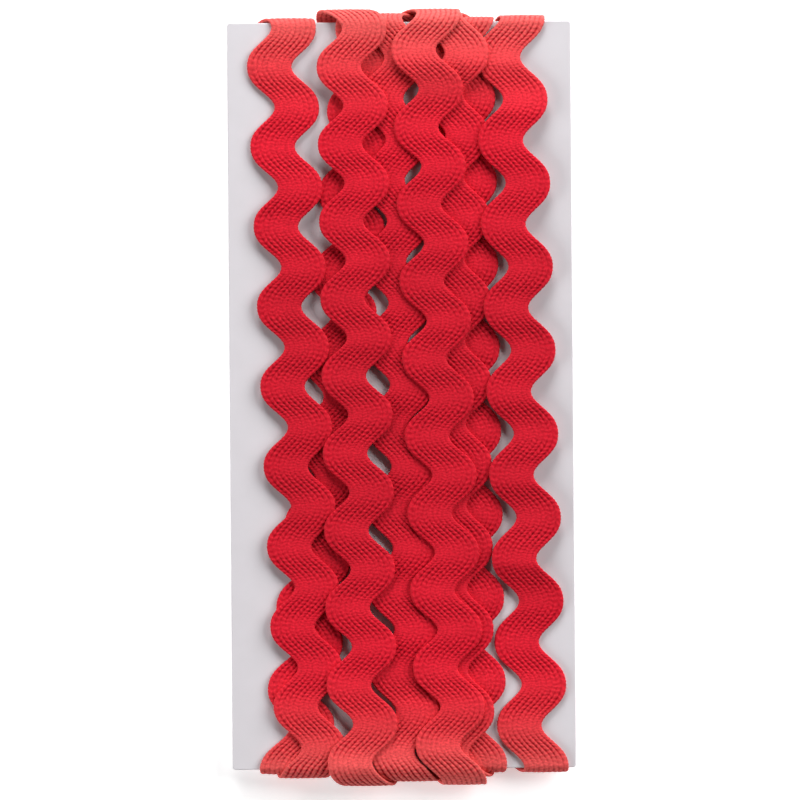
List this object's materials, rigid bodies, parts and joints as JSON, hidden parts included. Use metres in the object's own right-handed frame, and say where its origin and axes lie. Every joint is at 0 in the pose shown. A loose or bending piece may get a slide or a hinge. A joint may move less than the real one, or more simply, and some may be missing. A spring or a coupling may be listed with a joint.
{
  "type": "roll of ric rac",
  "caption": "Length of red zigzag ric rac braid wound lengthwise round a flat white card, lying on its back windings.",
  "frame": {"origin": "middle of the whole in X and Y, on the surface that the windings at the back rest on", "axes": "+X to the right of the card as seen from the front, +Y to its top edge, +Z out of its front"},
  "size_m": [0.061, 0.1382, 0.0071],
  "materials": {
    "white_card": "matte",
    "red_braid": "matte"
  },
  "bodies": {
    "root": {"card": "white_card", "ric_rac_winding": "red_braid"}
  },
  "joints": []
}
